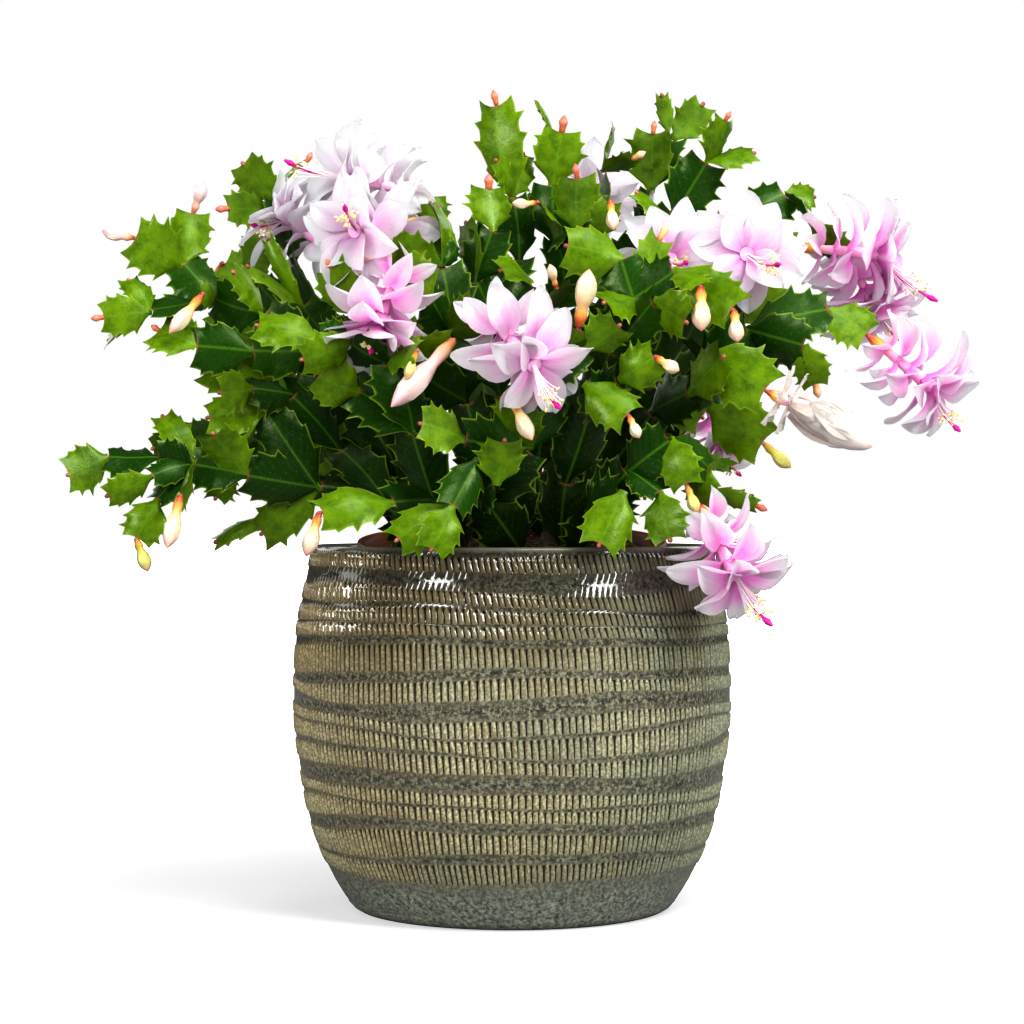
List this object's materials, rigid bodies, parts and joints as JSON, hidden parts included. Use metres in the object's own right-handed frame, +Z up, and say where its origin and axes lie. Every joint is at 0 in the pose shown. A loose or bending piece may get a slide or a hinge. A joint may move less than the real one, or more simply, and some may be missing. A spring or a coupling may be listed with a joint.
{
  "type": "potted christmas cactus",
  "caption": "Christmas cactus in flower: arching stems of flat toothed segments with pale pink blooms and buds, in a plastic nursery pot inside a glazed cachepot with wavy stamped bands.",
  "frame": {"origin": "centre of the cachepot's flat base, where it stands on the table", "axes": "+Z up out of the pot, -Y toward the side with most blooms, +X to the right as seen from that side"},
  "size_m": [0.382, 0.2551, 0.3601],
  "materials": {
    "glaze": "glossy speckled glaze, pale on the raised marks and dark in the grooves",
    "nursery_plastic": "satin brown-red plastic",
    "soil": "crumbly dark potting soil",
    "leaf": "waxy green skin, lighter toward the edges",
    "petal": "thin satin petals, white to pale pink",
    "bud": "satin cream with an orange to pink base"
  },
  "bodies": {
    "root": {"pot": "glaze", "nursery_pot": "nursery_plastic", "soil": "soil", "leafy_stem_back_high_left": "leaf", "leafy_stem_back_low_left": "leaf", "leafy_stem_back_low_right": "leaf", "leafy_stem_back_middle": "leaf", "leafy_stem_back_right": "leaf", "leafy_stem_centre_right": "leaf", "leafy_stem_front_left": "leaf", "leafy_stem_front_mid": "leaf", "leafy_stem_left_back": "leaf", "leafy_stem_left_high": "leaf", "leafy_stem_left_low": "leaf", "leafy_stem_mid_left": "leaf", "leafy_stem_right_high": "leaf", "leafy_stem_right_low": "leaf", "leafy_stem_right_mid": "leaf", "leafy_stem_top_far": "leaf", "leafy_stem_top_mid": "leaf", "leafy_stem_top_near": "leaf", "bloom_back_centre": "petal", "bloom_back_low": "petal", "bloom_back_right": "petal", "bloom_centre": "petal", "bloom_half_open": "petal", "bloom_left_behind": "petal", "bloom_left_front": "petal", "bloom_left_hanging": "petal", "bloom_left_top": "petal", "bloom_low_right": "petal", "bloom_middle_behind": "petal", "bloom_right_far": "petal", "bloom_right_inner": "petal", "bloom_right_near": "petal", "bloom_right_outer": "petal", "bloom_top_behind": "petal", "bud_back_left": "bud", "bud_centre_small": "bud", "bud_centre_up": "bud", "bud_far_left": "bud", "bud_front_hanging": "bud", "bud_front_left": "bud", "bud_front_left_small": "bud", "bud_left_down": "bud", "bud_left_middle": "bud", "bud_left_up": "bud", "bud_low_left_end": "bud", "bud_low_left_front": "bud", "bud_low_right": "bud", "bud_pale_long": "bud", "bud_right_down": "bud", "bud_right_hanging": "bud", "bud_right_hanging_2": "bud", "bud_right_side": "bud", "bud_right_small": "bud", "bud_top_hanging": "bud", "bud_top_left": "bud"}
  },
  "joints": []
}
